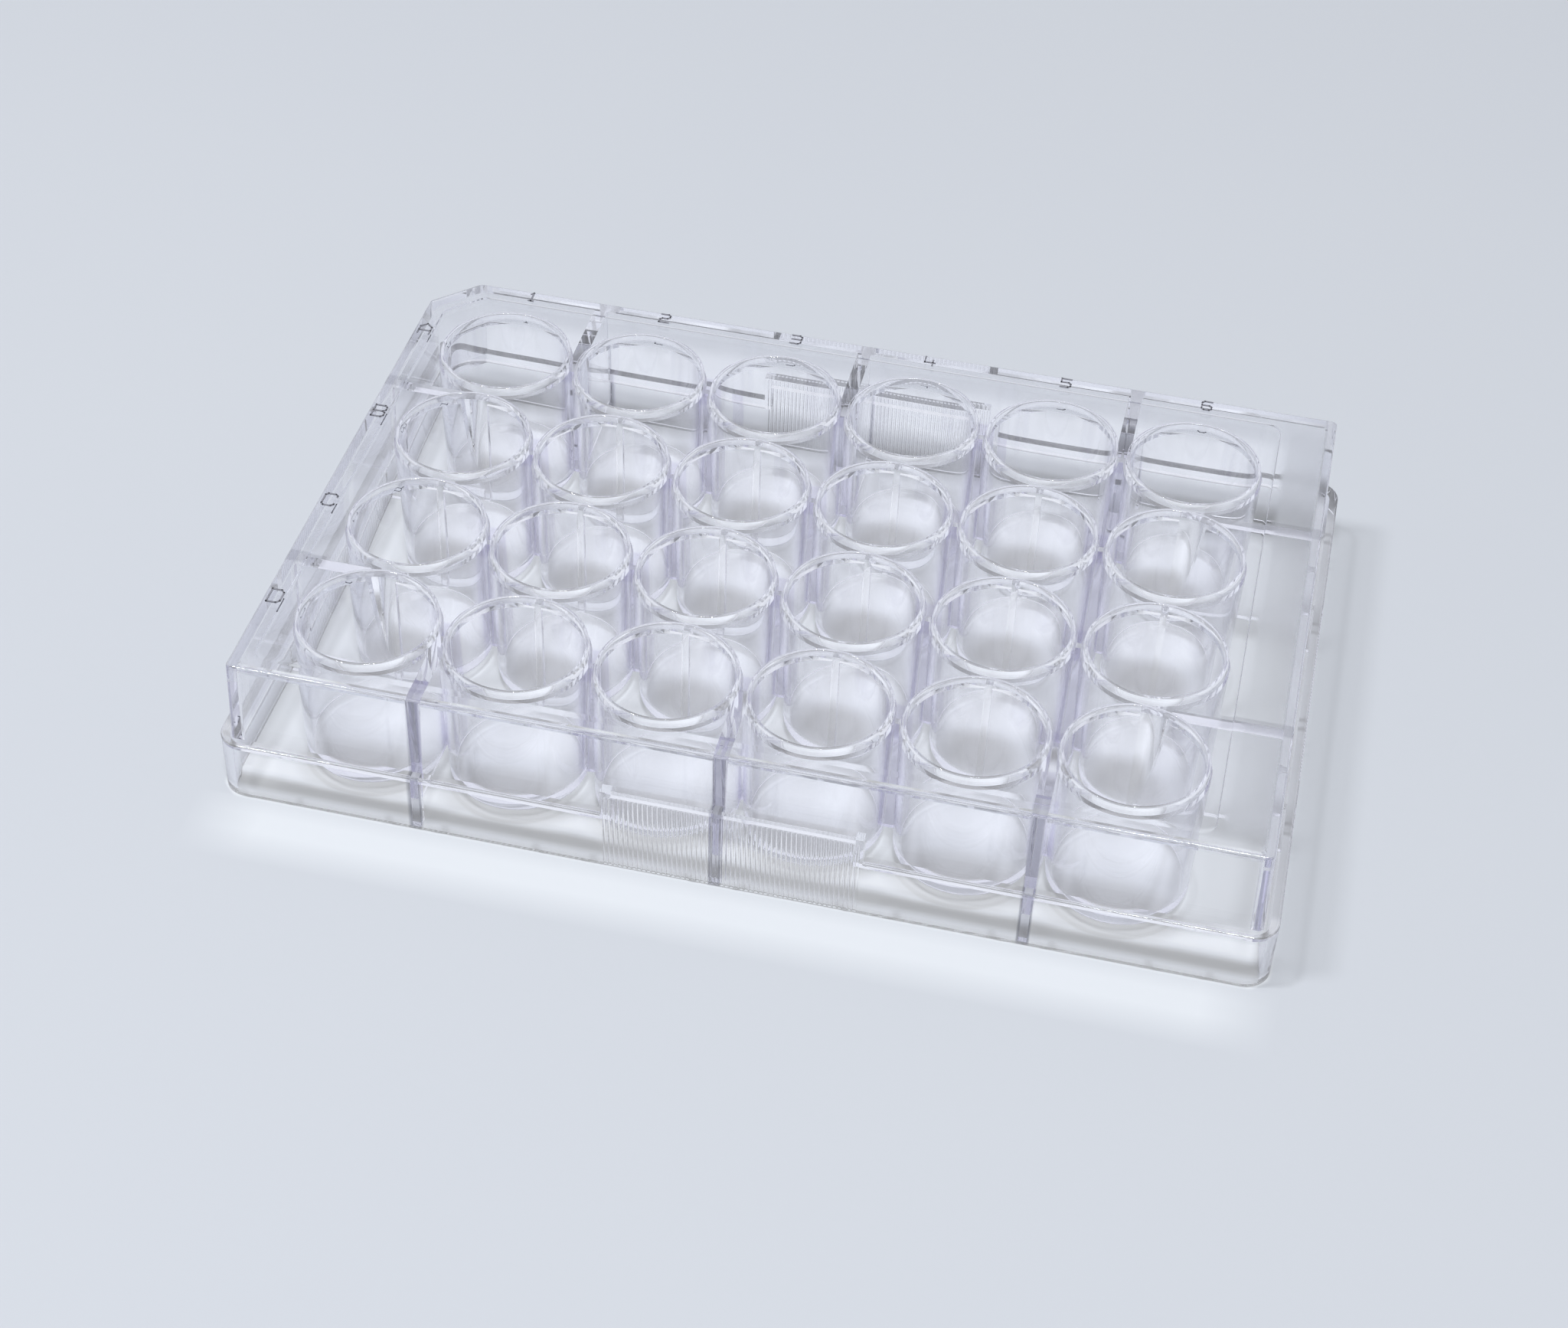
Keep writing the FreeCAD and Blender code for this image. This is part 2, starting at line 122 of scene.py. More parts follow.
def loft(rings):
    """Points and faces of a closed solid through rings, given from the lowest to the highest.

    Face (i, j) joins points j and j + 1 of ring i to the same points of ring i + 1. Two caps close it.
    """
    rings = np.asarray(rings, float)
    levels, around = rings.shape[:2]
    index = np.arange(levels * around).reshape(levels, around)
    ahead = np.roll(index, -1, axis=1)
    sides = np.stack([index[:-1], ahead[:-1], ahead[1:], index[1:]], axis=-1).reshape(-1, 4)
    caps = [index[0, ::-1].tolist(), index[-1].tolist()]
    return rings.reshape(-1, 3), sides.tolist() + caps


def turned(profile, segments=144):
    """Points and faces of a solid turned about the upright axis: profile rows are radius and height."""
    angles = np.linspace(0, 2 * np.pi, segments, endpoint=False)
    circle = np.stack([np.cos(angles), np.sin(angles)], axis=-1)
    return loft([at_height(circle * radius, height) for radius, height in profile])


def shifted(faces, shifts):
    """Copies of a list of faces, each with its point numbers raised by one of the shifts."""
    return [[number + shift for number in face] for shift in shifts for face in faces]


def repeated(shape, places):
    """The same shape set down at every place, as one array of points and one list of faces."""
    points, faces = shape
    places = np.asarray(places, float)
    spread = (points[None] + places[:, None]).reshape(-1, 3)
    return spread, shifted(faces, np.arange(len(places)) * len(points))


def blocks(corners):
    """Plain blocks, one for each row of lowest x, y, z and highest x, y, z."""
    corners = np.asarray(corners, float).reshape(-1, 6)
    low, high = corners[:, :3], corners[:, 3:]
    size = high - low
    ring = np.array([[0, 0], [1, 0], [1, 1], [0, 1]])
    unit_points, faces = loft([at_height(ring, 0), at_height(ring, 1)])
    points = (low[:, None] + unit_points[None] * size[:, None]).reshape(-1, 3)
    return points, shifted(faces, np.arange(len(corners)) * len(unit_points))


def quarter(centre_radius, centre_height, radius, start, stop, steps=5):
    """Points of an arc in a profile, from one angle to another, in degrees from straight outwards."""
    angles = np.radians(np.linspace(start, stop, steps))
    return [(centre_radius + radius * np.cos(a), centre_height + radius * np.sin(a)) for a in angles]


# %% [markdown]
# ## One solid out of many
#
# Refraction only works if light meets each wall once. Shapes that merely overlap would show their
# hidden faces inside the plastic, so they are joined and cut with exact Boolean steps. The **Manifold**
# solver is used because it always gives back a closed mesh, and it is quick enough for a lattice of
# tubes and ribs.

# %% Booleans
def new_piece(name, shape, scale=1.0):
    """An object at the origin from points in millimetres and faces."""
    points, faces = shape
    mesh = bpy.data.meshes.new(name)
    mesh.from_pydata((np.asarray(points) * scale).tolist(), [], faces)
    mesh.update()
    piece = bpy.data.objects.new(name, mesh)
    bpy.context.scene.collection.objects.link(piece)
    return piece


def combine(body, shape, operation):
    """Joins a shape to the body (UNION) or cuts it away (DIFFERENCE), and keeps the result."""
    tool = new_piece("tool", shape)
    step = body.modifiers.new("step", "BOOLEAN")
    step.operation, step.solver, step.object = operation, "MANIFOLD", tool
    evaluated = body.evaluated_get(bpy.context.evaluated_depsgraph_get())
    result = bpy.data.meshes.new_from_object(evaluated)
    body.modifiers.clear()
    old, body.data = body.data, result
    bpy.data.meshes.remove(old)
    mesh = tool.data
    bpy.data.objects.remove(tool)
    bpy.data.meshes.remove(mesh)


def count_triangles(piece):
    """Triangles that the piece's mesh is drawn with."""
    piece.data.calc_loop_triangles()
    return len(piece.data.loop_triangles)


# %% [markdown]
# ## The skirt, the ledge and the box
#
# The skirt has the standard plate's outline and round corners. The box above it is drafted, so that it
# leaves the mould, nearly sharp at its corners, and cut at the corner beside well A1, which tells a
# user which way round the plate lies. Every outer edge gets a small round: on clear plastic it is the
# rounds that catch the light.

# %% Skirt and box
def plain_corners(half_x, half_y):
    """Plan of a rectangle, anticlockwise from the front left."""
    return [(-half_x, -half_y), (half_x, -half_y), (half_x, half_y), (-half_x, half_y)]


def box_corners(half_x, half_y, cut):
    """Plan of the box, anticlockwise from the front left, with the back left corner cut."""
    return plain_corners(half_x, half_y)[:3] + [(-half_x + cut, half_y), (-half_x, half_y - cut)]


CORNER_RADIUS, EDGE_ROUND = 3.18, 0.35
BOX_CORNER_RADIUS, CORNER_CUT, TOP_ROUND = 0.6, 5.5, 0.3
FOOT_STEPS = [(0.2, 0), (0.06, 0.06), (0, 0.2)]      # inset and height of the rings of the foot's edge
skirt_rings = []
for inset, height in FOOT_STEPS + [
    (EDGE_ROUND - x, z) for x, z in quarter(0, LEDGE - EDGE_ROUND, EDGE_ROUND, 0, 90)
]:
    outline = rounded_outline(plain_corners(FOOT_X - inset, FOOT_Y - inset), CORNER_RADIUS - inset, 12)
    skirt_rings.append(at_height(outline, height))
plate = new_piece("well_plate_clear", loft(skirt_rings))

box_rings = []
for inset, height in [(-0.02, LEDGE - 0.8), (0, LEDGE)] + [
    (DRAFT + TOP_ROUND - x, z) for x, z in quarter(0, DECK - TOP_ROUND, TOP_ROUND, 0, 90)
]:
    corners = box_corners(BOX_X - inset, BOX_Y - inset, CORNER_CUT)
    box_rings.append(at_height(rounded_outline(corners, BOX_CORNER_RADIUS, 7), height))
combine(plate, loft(box_rings), "UNION")
print("skirt and box:", count_triangles(plate), "triangles")

# %% [markdown]
# ## The grips
#
# Each long side has a block that stands flush with the skirt and rises above the ledge, for a finger to
# catch. Its face is cut into fine upright flutes. One comb with rounded teeth, as long as the grip,
# cuts them all at once, and its edge is a formula: the depth falls off as a half circle inside each
# flute and is nought between them.

# %% Grip blocks and fluted combs
FLUTE_PITCH, FLUTE_WIDTH, FLUTE_DEPTH = 0.595, 0.46, 0.18
END_MARGIN, TOP_MARGIN, FOOT_MARGIN = 0.15, 0.7, 0.3
COMB_BACK, COMB_END, CLEARANCE = -1, 0.5, 0.004      # the clearance keeps the comb's own edge off the face
GRIP_BACK, GRIP_FOOT = BOX_Y - WALL / 2, 0.12
grip_blocks = [
    (-GRIP_X, -FOOT_Y, GRIP_FOOT, GRIP_X, -GRIP_BACK, GRIP_TOP),
    (-GRIP_X, GRIP_BACK, GRIP_FOOT, GRIP_X, FOOT_Y, GRIP_TOP),
]
combine(plate, blocks(grip_blocks), "UNION")


def comb_outline(length, steps=7):
    """Plan of a comb along X whose teeth reach FLUTE_DEPTH past y = 0, with its back at COMB_BACK.

    A tooth's reach at u, which runs from -1 to 1 across it, is FLUTE_DEPTH * sqrt(1 - u * u).
    """
    count = int((length - FLUTE_WIDTH) / FLUTE_PITCH) + 1
    centres = (np.arange(count) - (count - 1) / 2) * FLUTE_PITCH
    across = -np.cos(np.linspace(0, np.pi, steps))
    teeth_x = (centres[:, None] + across * FLUTE_WIDTH / 2).ravel()
    teeth_y = np.tile(FLUTE_DEPTH * np.sqrt(np.clip(1 - across ** 2, 0, 1)), count)
    ends = np.array([[centres[-1] + COMB_END, COMB_BACK], [centres[0] - COMB_END, COMB_BACK]])
    return np.vstack([np.column_stack([teeth_x, teeth_y - CLEARANCE]), ends])[::-1]


def comb(length, low, high, side, quarter_turns):
    """The comb as a solid between two heights, its teeth towards the plate from the given side's face."""
    outline = comb_outline(length)
    turn = np.linalg.matrix_power(np.array([[0, 1], [-1, 0]]), quarter_turns)
    plan = (outline - [0, side]) @ turn
    return loft([at_height(plan, low), at_height(plan, high)])


long_side = (FOOT_Y, 2 * GRIP_X - 2 * END_MARGIN, GRIP_TOP - TOP_MARGIN)
short_side = (FOOT_X, 2 * GRIP_X, LEDGE + 0.5)
for turns, (face, length, top) in [(0, long_side), (2, long_side), (1, short_side), (3, short_side)]:
    combine(plate, comb(length, FOOT_MARGIN, top, face, turns), "DIFFERENCE")
print("with grips:", count_triangles(plate), "triangles")

# %% [markdown]
# ## The deck's sunk field and the hollow below
#
# The wells stand in a shallow field, a quarter of a millimetre deep, with a steep lip and then a gentle
# slope. The lip is what shows as the fine dark line round the wells. Below, the plate is hollow: the
# inside of the skirt, the inside of the box and the backs of the grips are cut away, all one wall
# thickness in.

# %% The sunk field
deck_x, deck_y = BOX_X - DRAFT, BOX_Y - DRAFT
FIELD = np.array([-deck_x + 2.5, -deck_y + 1.95, deck_x - 7.0, deck_y - 2.9])    # left, front, right, back


def field_outline(left, front, right, back, radius):
    """Plan of the sunk field, with its back left corner cut like the box's."""
    cut = CORNER_CUT - 1
    corners = [(left, front), (right, front), (right, back), (left + cut, back), (left, back - cut)]
    return rounded_outline(corners, radius, 9)


inwards = np.array([1, 1, -1, -1])
LIP, SLOPE_WIDTHS, LIP_SHARE, FIELD_RADIUS = 0.1, np.array([0.35, 1.2, 0.7, 1.2]), 0.6, 2.0
field_rings = [
    at_height(field_outline(*(FIELD + inwards * SLOPE_WIDTHS), FIELD_RADIUS - 0.8), DECK - FIELD_DEPTH),
    at_height(field_outline(*(FIELD + inwards * LIP), FIELD_RADIUS - LIP), DECK - LIP_SHARE * FIELD_DEPTH),
    at_height(field_outline(*FIELD, FIELD_RADIUS), DECK),
    at_height(field_outline(*(FIELD - inwards * LIP), FIELD_RADIUS + LIP), DECK + 0.4),
]
combine(plate, loft(field_rings), "DIFFERENCE")
print("with the field:", count_triangles(plate), "triangles")

# %% The hollows
UNDER = -1                     # cutters for the underside start this far below the foot
hollow_outline = rounded_outline(plain_corners(FOOT_X - WALL, FOOT_Y - WALL), CORNER_RADIUS - WALL, 10)
skirt_hollow = [at_height(hollow_outline, UNDER), at_height(hollow_outline, LEDGE - WALL)]
combine(plate, loft(skirt_hollow), "DIFFERENCE")
INNER_ROUND = 0.25
hollow_steps = [
    (WALL, LEDGE - WALL - 0.5),
    (WALL + DRAFT, DECK_UNDER - INNER_ROUND),
    (WALL + DRAFT + INNER_ROUND, DECK_UNDER),
]
hollow_rings = []
for inset, height in hollow_steps:
    corners = box_corners(BOX_X - inset, BOX_Y - inset, CORNER_CUT - WALL / 2)
    hollow_rings.append(at_height(rounded_outline(corners, 0.5, 5), height))
combine(plate, loft(hollow_rings), "DIFFERENCE")
grip_hollows = [
    (-GRIP_X + WALL, -FOOT_Y + WALL, UNDER, GRIP_X - WALL, -BOX_Y + 2 * WALL, GRIP_TOP - WALL),
    (-GRIP_X + WALL, BOX_Y - 2 * WALL, UNDER, GRIP_X - WALL, FOOT_Y - WALL, GRIP_TOP - WALL),
]
combine(plate, blocks(grip_hollows), "DIFFERENCE")
print("hollowed:", count_triangles(plate), "triangles")

# %% [markdown]
# ## Webs, ribs and tubes
#
# Under the deck thin webs tie each tube to its neighbours, and ribs tie the outermost tubes to the
# walls, so that the moulding stays flat. The tubes are turned, with a raised rim on top. The rim's two
# edges are rounded, because each of them shows as a bright ring.

# %% Webs and ribs
WEB, WEB_FOOT, RIB_FOOT = 0.9, 2.5, 4.1
RIB_TOP_WIDTH, RIB_FOOT_WIDTH, ROOT, ROOT_FOOT = 1.8, 1.2, 1.0, 0.1
into_deck = (DECK + DECK_UNDER) / 2
row_webs = [(COLUMN_X[0], y - WEB / 2, WEB_FOOT, COLUMN_X[-1], y + WEB / 2, into_deck) for y in ROW_Y]
column_webs = [(x - WEB / 2, ROW_Y[-1], WEB_FOOT, x + WEB / 2, ROW_Y[0], into_deck) for x in COLUMN_X]
combine(plate, blocks(row_webs), "UNION")
combine(plate, blocks(column_webs), "UNION")

side_places = (COLUMN_X[0:-1:2] + COLUMN_X[1::2]) / 2
end_places = (ROW_Y[0:-1:2] + ROW_Y[1::2]) / 2


def drafted_rib(low_x, low_y, high_x, high_y, along_x):
    """A rib between two plan corners, narrower at its foot than at the deck."""
    narrow = (RIB_TOP_WIDTH - RIB_FOOT_WIDTH) / 2
    pinch = np.array([0, narrow]) if along_x else np.array([narrow, 0])
    ring = np.array([[low_x, low_y], [high_x, low_y], [high_x, high_y], [low_x, high_y]], float)
    towards = np.sign(ring.mean(axis=0) - ring)
    return loft([at_height(ring + towards * pinch, RIB_FOOT), at_height(ring, into_deck)])


rib_end_x, rib_end_y = BOX_X - 0.75 * WALL, BOX_Y - 0.75 * WALL
half_rib = RIB_TOP_WIDTH / 2
for x in side_places:
    combine(plate, drafted_rib(x - half_rib, -rib_end_y, x + half_rib, ROW_Y[-1], False), "UNION")
    combine(plate, drafted_rib(x - half_rib, ROW_Y[0], x + half_rib, rib_end_y, False), "UNION")
for y in end_places:
    combine(plate, drafted_rib(-rib_end_x, y - half_rib, COLUMN_X[0], y + half_rib, True), "UNION")
    combine(plate, drafted_rib(COLUMN_X[-1], y - half_rib, rib_end_x, y + half_rib, True), "UNION")

root_x, root_y = FOOT_X - WALL / 2, FOOT_Y - WALL / 2
roots = []
for x in side_places:
    top = GRIP_TOP - WALL / 2 if abs(x) < GRIP_X else LEDGE - WALL / 2
    roots.append((x - ROOT / 2, -root_y, ROOT_FOOT, x + ROOT / 2, -BOX_Y + WALL, top))
    roots.append((x - ROOT / 2, BOX_Y - WALL, ROOT_FOOT, x + ROOT / 2, root_y, top))
top = LEDGE - WALL / 2
for y in end_places:
    roots.append((-root_x, y - ROOT / 2, ROOT_FOOT, -BOX_X + WALL, y + ROOT / 2, top))
    roots.append((BOX_X - WALL, y - ROOT / 2, ROOT_FOOT, root_x, y + ROOT / 2, top))
combine(plate, blocks(roots), "UNION")
print("with webs and ribs:", count_triangles(plate), "triangles")

# %% Tubes, rims and bores
SLOPE = (MOUTH - FLOOR_RADIUS) / (TOP - WELL_FLOOR)
TUBE_WALL, TUBE_ROUND, FLOOR_ROUND = 0.8, 0.7, 0.4
RIM_WIDTH, RIM_FLARE, RIM_ROUND = 0.42, 0.1, 0.12
foot_radius = FLOOR_RADIUS + TUBE_WALL - SLOPE * (WELL_FLOOR - TUBE_FOOT)
deck_radius = foot_radius + SLOPE * (DECK_UNDER - TUBE_FOOT)
well_places = [(x, y, 0) for y in ROW_Y for x in COLUMN_X]

tube_profile = (
    quarter(foot_radius - TUBE_ROUND, TUBE_FOOT + TUBE_ROUND, TUBE_ROUND, -90, 0, 6)
    + [(deck_radius, DECK_UNDER), (MOUTH + RIM_WIDTH + RIM_FLARE, DECK - FIELD_DEPTH)]
    + quarter(MOUTH + RIM_WIDTH - RIM_ROUND, TOP - RIM_ROUND, RIM_ROUND, 10, 90, 5)
)
combine(plate, repeated(turned(tube_profile), well_places), "UNION")

bore_profile = (
    quarter(FLOOR_RADIUS - FLOOR_ROUND, WELL_FLOOR + FLOOR_ROUND, FLOOR_ROUND, -90, 0, 6)
    + [(MOUTH - SLOPE * RIM_ROUND, TOP - RIM_ROUND)]
    + [(2 * MOUTH + RIM_ROUND - x, z) for x, z in quarter(MOUTH, TOP - RIM_ROUND, RIM_ROUND, 0, 90, 5)][1:]
    + [(MOUTH + RIM_ROUND + 0.02, TOP + 0.5)]
)
combine(plate, repeated(turned(bore_profile), well_places), "DIFFERENCE")
print("with wells:", count_triangles(plate), "triangles,", len(plate.data.vertices), "points")

# %% [markdown]
# ## Smooth where it is round, crisp where it is folded
#
# Flat faces must stay optically flat, and turned faces must look turned. Edges that fold by more than a
# set angle are marked sharp, all faces are shaded smooth, and a **Weighted Normal** modifier lets large
# flat faces keep their own direction right up to a fillet. The mesh was worked out in millimetres, so
# it is scaled last.

# %% Shading and scale
SHARP_ANGLE, FLAT_WEIGHT = 32, 60
plate.data.transform(Matrix.Scale(MM, 4))
plate.data.polygons.foreach_set("use_smooth", np.ones(len(plate.data.polygons), bool))
plate.data.set_sharp_from_angle(angle=math.radians(SHARP_ANGLE))
weighted = plate.modifiers.new("weighted", "WEIGHTED_NORMAL")
weighted.keep_sharp = True
weighted.weight = FLAT_WEIGHT
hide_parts("well_plate")
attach(plate, "root")
print("sharp edges:", sum(edge.use_edge_sharp for edge in plate.data.edges))

# %% [markdown]
# ## Row letters and column numbers
#
# The mould cutter engraves plain strokes: letters down the left border and numbers along the back one.
# Each character is a few straight strokes on a small grid, and each stroke is a thin flat bar that
# stands a little proud of the deck.

# %% Strokes
STROKE, RAISED = 0.2, 0.1
CHARACTERS = {
    "A": [[(0, 0), (0, 1.5), (0.8, 2.2), (1.6, 1.5), (1.6, 0)], [(0, 0.7), (1.6, 0.7)]],
    "B": [[(1.3, 1.15), (1.6, 1.45), (1.6, 2.0), (1.3, 2.3), (0, 2.3), (0, 0), (1.3, 0), (1.6, 0.3),
           (1.6, 0.85), (1.3, 1.15), (0, 1.15)]],
    "C": [[(1.6, 1.8), (1.6, 1.95), (1.3, 2.25), (0.3, 2.25), (0, 1.95), (0, 0.3), (0.3, 0), (1.3, 0),
           (1.6, 0.3), (1.6, 0.45)]],
    "D": [[(0, 0), (0, 2.3), (1.2, 2.3), (1.6, 1.9), (1.6, 0.4), (1.2, 0), (0, 0)]],
    "1": [[(0, 1.5), (0.3, 1.8), (0.3, 0)], [(0, 0), (0.6, 0)]],
    "2": [[(0, 1.8), (1.0, 1.8), (1.3, 1.5), (1.3, 1.2), (1.0, 0.9), (0.3, 0.9), (0, 0.6), (0, 0),
           (1.3, 0)]],
    "3": [[(0, 1.8), (1.1, 1.8), (1.4, 1.5), (1.4, 0.3), (1.1, 0), (0, 0)], [(0.1, 0.95), (1.4, 0.95)]],
    "4": [[(0, 1.8), (0, 0.6), (1.4, 0.6)], [(1.1, 1.2), (1.1, 0)]],
    "5": [[(1.3, 1.8), (0, 1.8), (0, 1.05), (1.0, 1.05), (1.3, 0.75), (1.3, 0.3), (1.0, 0), (0, 0)]],
    "6": [[(1.3, 1.8), (0.3, 1.8), (0, 1.5), (0, 0.3), (0.3, 0), (1.0, 0), (1.3, 0.3), (1.3, 0.7),
           (1.0, 0.95), (0, 0.95)]],
}


def strokes(character, centre_x, centre_y):
    """The character's strokes as rows of start x, y and end x, y, about a centre."""
    lines = [np.array(line) for line in CHARACTERS[character]]
    every = np.vstack(lines)
    shift = np.array([centre_x, centre_y]) - (every.min(axis=0) + every.max(axis=0)) / 2
    return np.vstack([np.hstack([line[:-1], line[1:]]) for line in lines]) + np.tile(shift, 2)


def bars(rows, width, low, high):
    """A flat bar along each row's line, longer by half its width at both ends."""
    start, stop = rows[:, :2], rows[:, 2:]
    along = unit(stop - start) * width / 2
    across = np.column_stack([-along[:, 1], along[:, 0]])
    first, last = start - along, stop + along
    ring = np.stack([first - across, last - across, last + across, first + across], axis=1)
    points = np.concatenate([np.dstack([ring, np.full(ring.shape[:2], z)]) for z in (low, high)], axis=1)
    one = loft([at_height(ring[0], 0), at_height(ring[0], 1)])[1]
    return points.reshape(-1, 3), shifted(one, np.arange(len(rows)) * points.shape[1])


LETTERS_X, NUMBERS_Y = -60.35, 39.85
letter_y = ROW_Y + (2.85, 2.45, 2.0, 1.5)
number_x = COLUMN_X - (0.45, 0.1, 0.2, 0.2, 0.2, -0.2)
letter_rows = [strokes(letter, LETTERS_X, y) for letter, y in zip("ABCD", letter_y)]
number_rows = [strokes(number, x, NUMBERS_Y) for number, x in zip("123456", number_x)]
all_bars = bars(np.vstack(letter_rows + number_rows), STROKE, DECK - 0.02, DECK + RAISED)
marks = new_piece("row_and_column_marks", all_bars, MM)
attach(marks, "root")
print("marks:", count_triangles(marks), "triangles")

# %% [markdown]
# ## Shader sums as Python sums
#
# A node tree for maths is hard to read. The small class below wraps a socket, so that `1 - mask * 0.5`
# adds the Math nodes by itself. Any other node comes from `Tree.node`, which takes the node's type, its
# settings and the values or links of its sockets.

# %% The socket class
class Number:
    """A socket that holds a number. Sums on it add Math nodes to its tree."""

    def __init__(self, tree, socket):
        self.tree, self.socket = tree, socket

    def math(self, operation, *values):
        """A Math node of the given operation on the given values."""
        node = self.tree.node("ShaderNodeMath", {"operation": operation}, dict(enumerate(values)))
        return Number(self.tree, node.outputs[0])

    def __add__(self, other):
        return self.math("ADD", self, other)

    def __sub__(self, other):
        return self.math("SUBTRACT", self, other)

    def __rsub__(self, other):
        return self.math("SUBTRACT", other, self)

    def __mul__(self, other):
        return self.math("MULTIPLY", self, other)

    def __truediv__(self, other):
        return self.math("DIVIDE", self, other)

    def __pow__(self, other):
        return self.math("POWER", self, other)

    def size(self):
        """The value without its sign."""
        return self.math("ABSOLUTE", self)

    def clamp(self):
        """The value held between nought and one."""
        return self.math("MINIMUM", self.math("MAXIMUM", self, 0.0), 1.0)

    __radd__, __rmul__ = __add__, __mul__


class Tree:
    """The node tree of a material or a world, emptied."""

    def __init__(self, owner):
        owner.use_nodes = True
        self.owner = owner
        self.nodes, self.links = owner.node_tree.nodes, owner.node_tree.links
        self.nodes.clear()

    def node(self, kind, settings=None, sockets=None):
        """Adds a node: its settings first, then each socket's value or link."""
        node = self.nodes.new(kind)
        for key, value in (settings or {}).items():
            setattr(node, key, value)
        for key, value in (sockets or {}).items():
            value = value.socket if isinstance(value, Number) else value
            if isinstance(value, bpy.types.NodeSocket):
                self.links.new(value, node.inputs[key])
            else:
                node.inputs[key].default_value = value
        return node

    def place(self):
        """The object's own coordinates, as a vector socket and three numbers."""
        coordinates = self.node("ShaderNodeTexCoord").outputs["Object"]
        split = self.node("ShaderNodeSeparateXYZ", sockets={0: coordinates})
        return coordinates, *(Number(self, split.outputs[axis]) for axis in range(3))

    def well(self, x, y):
        """How far a point is from the nearest well's middle: across, along and straight, in millimetres."""
        across = x.math("WRAP", x / MM - GRID_X, PITCH, 0.0) - PITCH / 2
        along = y.math("WRAP", y / MM - GRID_Y, PITCH, 0.0) - PITCH / 2
        return across, along, (across ** 2 + along ** 2) ** 0.5

    def from_rib(self, value, first):
        """How far a point is from the nearest rib, in millimetres. Ribs stand two pitches apart."""
        return (value.math("WRAP", value / MM - first + PITCH, 2 * PITCH, 0.0) - PITCH).size()

    def larger(self, first, second):
        """The larger of two numbers."""
        return first.math("MAXIMUM", first, second)

    def noise(self, coordinates, scale, detail):
        """Smooth noise about one half, with `scale` lumps to the metre."""
        sockets = {"Vector": coordinates, "Scale": scale, "Detail": detail}
        return Number(self, self.node("ShaderNodeTexNoise", sockets=sockets).outputs[0])

    def coloured(self, share, first, second):
        """A colour between two, by a share from nought to one."""
        first, second = ((*value, 1) if isinstance(value, tuple) else value for value in (first, second))
        sockets = {"Factor": share, "A": first, "B": second}
        return self.node("ShaderNodeMix", {"data_type": "RGBA"}, sockets).outputs["Result"]

    def mixed(self, share, first, second):
        """A Mix Shader: the first shader where share is nought, the second where it is one."""
        return self.node("ShaderNodeMixShader", sockets={0: share, 1: first, 2: second}).outputs[0]

    def clear(self, colour):
        """A Transparent shader that lets light through unbent, tinted by a colour."""
        return self.node("ShaderNodeBsdfTransparent", sockets={"Color": (*colour, 1)}).outputs[0]

    def window(self, value, low, high, soft):
        """One where value is between low and high, falling to nought over `soft` on either side."""
        return self.at_least(value, low, soft) * self.at_least(high - value, 0.0, soft)

    def at_least(self, value, limit, soft):
        """One where value is over the limit, falling to nought over `soft` about it."""
        return ((value - limit) / soft + 0.5).clamp()


# %% [markdown]
# ## Clear polystyrene
#
# Polystyrene bends light a little more than glass, with an index of 1.59. It is perfectly clear through
# one wall, but light that runs along a wall comes out violet-grey. The solid absorbs a little for that,
# and a few tints paint in the shade of that light where its path is too long to be followed in a short
# render: on the tubes' grazing faces, in the gaps between tubes, where the ribs meet the walls, and on
# the deck.
#
# The deck's border beside column 6 is lightly frosted in the mould, and is the only rough part of the
# plate itself. A very faint waviness keeps broad faces from looking computed. Shadows could be traced
# through every wall, but the bright patterns that plastic throws are slow and noisy to trace. So light
# for matt faces goes straight through, a little weaker at grazing faces, rims, corners and tube feet.

# %% Tints and painted shade on the plate
# The deck, end rib, gap and side rib colours and the violet-grey are painted shade, for light that runs
# along the walls; the clear and frosted colours are the plastic's own.
CLEAR, PAINTED_GRAZING_SHADE = (0.985, 0.985, 0.995), (0.55, 0.53, 0.66)
PAINTED_DECK_SHADE, FROSTED_TINT, PAINTED_END_RIB_SHADE = (0.87, 0.873, 0.89), (0.79, 0.795, 0.815), (0.55, 0.55, 0.58)
PAINTED_GAP_SHADE, PAINTED_SIDE_RIB_SHADE = (0.74, 0.72, 0.84), (0.46, 0.46, 0.51)
FROST, INDEX = 0.25, 1.59
WAVE_SCALE, WAVE_HEIGHT, WAVE_STRENGTH = 60.0, 0.000012, 0.6
ABSORBED, DENSITY = (0.3, 0.26, 0.6, 1), 7.0
NORMAL_MIRROR = 0.052          # share of light that one face mirrors when it is met squarely


def frosted_border(tree, x, y, z):
    """One on top of the deck beside column 6, falling to nought towards its edges."""
    across = tree.window(x, (FIELD[2] + 0.9) * MM, (deck_x - 0.9) * MM, 1.2 * MM)
    along = tree.window(y, -(deck_y - 2.0) * MM, (deck_y - 3.0) * MM, 3.0 * MM)
    return across * along * tree.window(z, (DECK - 0.1) * MM, (DECK + 0.1) * MM, 0.05 * MM)


